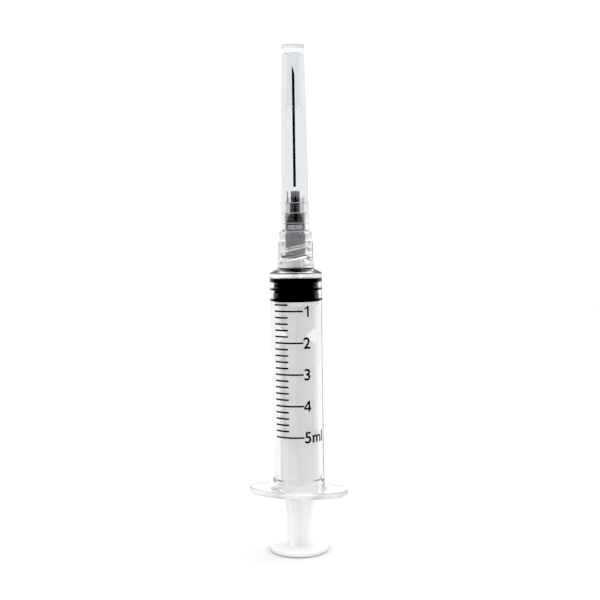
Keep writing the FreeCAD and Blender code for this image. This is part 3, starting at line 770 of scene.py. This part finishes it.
# %% Smoky plastic
MOUTH_TOP = 79.3 * MM
SOCKET_TOP = 83.2 * MM
NOSE_FOOT = 87.9 * MM
DOME_TOP = 90.5 * MM
NOSE_REACH = 1.45 * MM
DOME_REACH = 2.55 * MM
# Partly painted shade: the lowest rim is dark for its thick plastic and for the lugs' shade painted on it.
MOUTH_TINT_AND_SHADE = grey(0.3)
SOCKET_TINT = grey(0.8)
FIN_TINT = grey(1.0)
NOSE_TINT = grey(0.85)
DOME_TINT = grey(0.46)
SMOKE = (0.1, 0.095, 0.09, 1)
SMOKE_DENSITY = 820.0


def smoky_plastic():
    material, maker = new_material("smoky_hub")
    radius, height = turned_place(maker)
    above = height > NOSE_FOOT
    tint = blend_colours(maker, above * (radius < NOSE_REACH), FIN_TINT, NOSE_TINT)
    tint = blend_colours(maker, height < SOCKET_TOP, tint, SOCKET_TINT)
    # The rim's dark tone holds painted shade from the lugs as well as its thick plastic.
    tint = blend_colours(maker, height < MOUTH_TOP, tint, MOUTH_TINT_AND_SHADE)
    dome = above * (height < DOME_TOP) * (radius < DOME_REACH)
    haze = object_noise(maker, scale=500.0, detail=2.0)
    surface = maker.add("ShaderNodeBsdfPrincipled", {}, {
        "Base Color": blend_colours(maker, dome, tint, DOME_TINT),
        "Roughness": haze * 0.1 + 0.03,
        "IOR": PLASTIC_IOR,
        "Specular Tint": grey(0.5),
        "Transmission Weight": 1.0,
    })
    volume = maker.add("ShaderNodeVolumeAbsorption", {}, {"Color": SMOKE, "Density": SMOKE_DENSITY})
    return finish_material(material, maker, surface["BSDF"], volume["Volume"])


smoky_hub = smoky_plastic()

# %% [markdown]
# ## Needle steel
# The cannula is drawn steel tube: fine lengthwise drawing lines and a dark, smooth gloss. Noise stretched
# along the axis gives the lines, because a wave pattern would be too even.

# %% Steel
STEEL = (0.035, 0.035, 0.038, 1)
ALONG_THE_TUBE = (1, 1, 0.02)


def drawn_steel():
    material, maker = new_material("needle_steel")
    lines = object_noise(maker, scale=9000.0, detail=2.0, stretch=ALONG_THE_TUBE)
    surface = maker.add("ShaderNodeBsdfPrincipled", {}, {
        "Base Color": STEEL,
        "Metallic": 1.0,
        "Roughness": lines * 0.1 + 0.12,
        "Normal": grained(maker, lines, strength=0.1, distance=0.01 * MM),
    })
    return finish_material(material, maker, surface["BSDF"])


needle_steel = drawn_steel()

# %% [markdown]
# ## Glue
# A drop of pale epoxy holds the needle in the hub's nose. It is clouded and soft, so light goes a little
# way in.

# %% Cured glue
GLUE_DULL = (0.93, 0.93, 0.92, 1)
GLUE_PALE = (0.99, 0.99, 0.985, 1)


def cured_glue():
    material, maker = new_material("pale_glue")
    cloud = object_noise(maker, scale=900.0, detail=2.0)
    surface = maker.add("ShaderNodeBsdfPrincipled", {}, {
        "Base Color": blend_colours(maker, cloud, GLUE_DULL, GLUE_PALE),
        "Roughness": cloud * 0.1 + 0.25,
        "Subsurface Weight": 0.4,
        "Subsurface Radius": (1.0, 1.0, 1.0),
        "Subsurface Scale": 0.4 * MM,
    })
    return finish_material(material, maker, surface["BSDF"])


pale_glue = cured_glue()

# %% [markdown]
# ## Printing ink
# Pad printing ink is dense black with a dull, slightly mottled face. It hides what is behind it, so it
# needs no transparency.

# %% Ink
INK_DENSE = grey(0.003)
INK_THIN = grey(0.012)


def ink():
    material, maker = new_material("scale_ink")
    mottle = object_noise(maker, scale=2500.0, detail=3.0)
    surface = maker.add("ShaderNodeBsdfPrincipled", {}, {
        "Base Color": blend_colours(maker, mottle, INK_DENSE, INK_THIN),
        "Roughness": mottle * 0.2 + 0.5,
        "Specular IOR Level": 0.2,
    })
    return finish_material(material, maker, surface["BSDF"])


scale_ink = ink()

# %% [markdown]
# ## Put each finish on its piece
# A CAD piece keeps its mesh and only gets a better material in its slots. New pieces ride on the body that
# carries them: the print belongs to the barrel, and the stopper moves with the plunger.

# %% Assign finishes
FINISHES = {
    "barrel": clear_barrel,
    "needle_cap": clear_cap,
    "plunger_rod": white_plunger,
    "needle_hub": smoky_hub,
    "cannula": needle_steel,
    "adhesive_bead": pale_glue,
    "stopper": black_rubber,
}


def dress(piece, material):
    if not piece.data.materials:
        piece.data.materials.append(material)
    for index in range(len(piece.data.materials)):
        piece.data.materials[index] = material


for name, material in FINISHES.items():
    dress(nodes[name], material)
dress(stopper, black_rubber)
for piece in (scale_lines, scale_digits):
    dress(piece, scale_ink)
    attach(piece, "barrel")
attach(stopper, "plunger")
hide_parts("stopper")
print("dressed", len(FINISHES), "CAD pieces and 3 new ones")

# %% [markdown]
# ## Floor
# The photo's floor and backdrop are one plain white sweep, so bright that only a soft shade under the thumb
# press shows. A disc far wider than the view stands for it. Its tone depends on the kind of light path:
# what the camera sees, what shows through the plastic and what lights the syringe from below each get their
# own. Close round the press the floor is darker, because light from all sides would fill the shade on the
# press's lower edge. The syringe stands on its press, so the floor rides with the plunger and stays under
# it when the rod is drawn.

# %% Floor
FLOOR_RADIUS = 40.0
FLOOR_SIDES = 96
FLOOR_SEEN = grey(0.93)
FLOOR_THROUGH = grey(0.9)
FLOOR_LIGHTING = grey(1.0)
SHADE_OUTER = 10.0 * MM
SHADE_INNER = 7.5 * MM
SHADE_SEEN = grey(0.8)
SHADE_LIGHTING = grey(0.15)


def floor_white():
    material, maker = new_material("floor_white")
    path = maker.add("ShaderNodeLightPath")
    lighting = path["Is Diffuse Ray"]
    tone = blend_colours(maker, path["Is Transmission Ray"], FLOOR_SEEN, FLOOR_THROUGH)
    tone = blend_colours(maker, lighting, tone, FLOOR_LIGHTING)
    shade = blend_colours(maker, lighting, SHADE_SEEN, SHADE_LIGHTING)
    near = maker.add("ShaderNodeMapRange", {"interpolation_type": "SMOOTHSTEP"}, {
        "Value": turned_place(maker)[0], "From Min": SHADE_OUTER, "From Max": SHADE_INNER})["Result"]
    surface = maker.add("ShaderNodeBsdfPrincipled", {}, {
        "Base Color": blend_colours(maker, near, tone, shade),
        "Roughness": 1.0,
        "Specular IOR Level": 0.0,
    })
    return finish_material(material, maker, surface["BSDF"])


deselect_all()
bpy.ops.mesh.primitive_circle_add(
    vertices=FLOOR_SIDES, radius=FLOOR_RADIUS, fill_type="NGON", location=(0, 0, 0))
floor = bpy.context.object
floor.name = "floor"
dress(floor, floor_white())
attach(floor, "plunger")
print("floor: a disc of %.0f m radius" % FLOOR_RADIUS)

# %% [markdown]
# ## Light
# High-key light: a bright dome all round, whose rays don't all see the same brightness. The camera sees
# clean white. What shines through the plastic is a little darker, as a real studio wall is, and what
# mirrors in it is darker still, so that clear edges read. A glow from the ceiling is added to what mirrors,
# shines through or falls on a surface first, but not to what the camera sees or to light that a matt
# surface has scattered before.

# %% World
DOME_SEEN = 1.25
DOME_THROUGH = 0.98
DOME_MIRRORED = 0.9
DOME_LIGHT = 0.98
CEILING_GLOW = 2.0
CEILING_EDGE = 0.45
CEILING_FULL = 0.8


def make_world():
    world = bpy.data.worlds.new("studio")
    bpy.context.scene.world = world
    world.use_nodes = True
    world.node_tree.nodes.clear()
    maker = Nodes(world.node_tree)
    path = maker.add("ShaderNodeLightPath")
    seen = path["Is Camera Ray"]
    scattered = path["Diffuse Depth"] > 0.5
    through = path["Is Transmission Ray"] * (1 - scattered)
    mirrored = path["Is Glossy Ray"] * path["Is Reflection Ray"]
    direction = maker.add("ShaderNodeTexCoord")["Generated"]
    rise = maker.add("ShaderNodeSeparateXYZ", {}, {"Vector": direction})["Z"]
    ceiling = maker.add("ShaderNodeMapRange", {"interpolation_type": "SMOOTHSTEP"}, {
        "Value": rise, "From Min": CEILING_EDGE, "From Max": CEILING_FULL})["Result"]
    strength = (DOME_LIGHT + seen * (DOME_SEEN - DOME_LIGHT) + through * (DOME_THROUGH - DOME_LIGHT)
                + mirrored * (DOME_MIRRORED - DOME_LIGHT))
    glow = ceiling * CEILING_GLOW * (1 - seen) * (1 - scattered)
    background = maker.add("ShaderNodeBackground", {}, {"Color": grey(1.0), "Strength": strength + glow})
    maker.add("ShaderNodeOutputWorld", {}, {"Surface": background["Background"]})
    print("world:", len(world.node_tree.nodes), "nodes")


make_world()

# %% [markdown]
# ## Softbox
# A square area lamp overhead, aimed at the syringe's middle, gives the upward faces their glint. A sun
# would do so too, but its shadow has a hard edge.

# %% Overhead lamp
SOFTBOX_PLACE = (0.15, 0.2, 0.6)
SOFTBOX_SIDE = 0.4
SOFTBOX_POWER = 0.6
SOFTBOX_AIM = (0, 0, 0.07)

deselect_all()
bpy.ops.object.light_add(type="AREA", location=SOFTBOX_PLACE)
softbox = bpy.context.object
softbox.name = "overhead_softbox"
softbox.data.shape = "RECTANGLE"
softbox.data.size = softbox.data.size_y = SOFTBOX_SIDE
softbox.data.energy = SOFTBOX_POWER
beam = Vector(SOFTBOX_AIM) - Vector(SOFTBOX_PLACE)
softbox.rotation_euler = beam.to_track_quat("-Z", "Y").to_euler()
print("softbox: %.1f m wide, %.2f m from its aim" % (SOFTBOX_SIDE, beam.length))

# %% [markdown]
# ## Camera
# The camera stands in front and a little to the right, just above the syringe's middle, and looks slightly
# down. Its lens is worked out from the photo's pixels, with 600 pixels across the 36 mm sensor. Its place
# and turn are set in numbers, because a tracking constraint couldn't give the photo's slight roll.

# %% Camera
PHOTO_PIXELS = 600
SENSOR = 36.0
FOCAL_PIXELS = 984.0
CAMERA_DISTANCE = 261.1 * MM
CAMERA_HEIGHT = 84.1 * MM
CAMERA_ASIDE = 1.0 * MM
CAMERA_PITCH = 3.66
CAMERA_ROLL = -0.8
NEAREST_SEEN = 0.01


def make_camera():
    deselect_all()
    bpy.ops.object.camera_add()
    camera = bpy.context.object
    camera.name = "photo_camera"
    camera.data.sensor_width = SENSOR
    camera.data.lens = FOCAL_PIXELS * SENSOR / PHOTO_PIXELS
    camera.data.clip_start = NEAREST_SEEN
    azimuth = math.radians(CAMERA_AZIMUTH)
    right = Vector((math.cos(azimuth), math.sin(azimuth), 0))
    back = Vector((math.sin(azimuth), -math.cos(azimuth), 0))
    camera.location = back * CAMERA_DISTANCE + right * CAMERA_ASIDE + Vector((0, 0, CAMERA_HEIGHT))
    turn = Matrix.Rotation(azimuth, 4, "Z") @ Matrix.Rotation(math.radians(90 - CAMERA_PITCH), 4, "X")
    camera.rotation_euler = (turn @ Matrix.Rotation(math.radians(CAMERA_ROLL), 4, "Z")).to_euler()
    return camera


camera = make_camera()
bpy.context.scene.camera = camera
print("lens %.2f mm" % camera.data.lens)

# %% [markdown]
# ## Render settings that belong to the look
# Clear walls in clear walls need long paths: each surface costs a bounce, and light that runs inside a wall
# costs many. Light that plastic focuses is kept, because it brightens what stands inside the tube. The
# Standard view keeps white as white, and a small black level deepens the darks, as the photo's are.

# %% View settings
BLACK_LEVEL = 0.032
WALL_BOUNCES = 40

scene = bpy.context.scene
scene.view_settings.view_transform = "Standard"
scene.view_settings.look = "None"
scene.view_settings.use_curve_mapping = True
scene.view_settings.curve_mapping.black_level = (BLACK_LEVEL, BLACK_LEVEL, BLACK_LEVEL)
scene.view_settings.curve_mapping.update()
scene.cycles.max_bounces = WALL_BOUNCES
scene.cycles.transmission_bounces = WALL_BOUNCES
scene.cycles.glossy_bounces = 12
scene.cycles.diffuse_bounces = 6
scene.cycles.transparent_max_bounces = 16
scene.cycles.caustics_refractive = True
scene.cycles.caustics_reflective = True
scene.cycles.blur_glossy = 0.0
scene.cycles.sample_clamp_indirect = 0.0
print("view:", scene.view_settings.view_transform, "with", scene.cycles.max_bounces, "bounces")
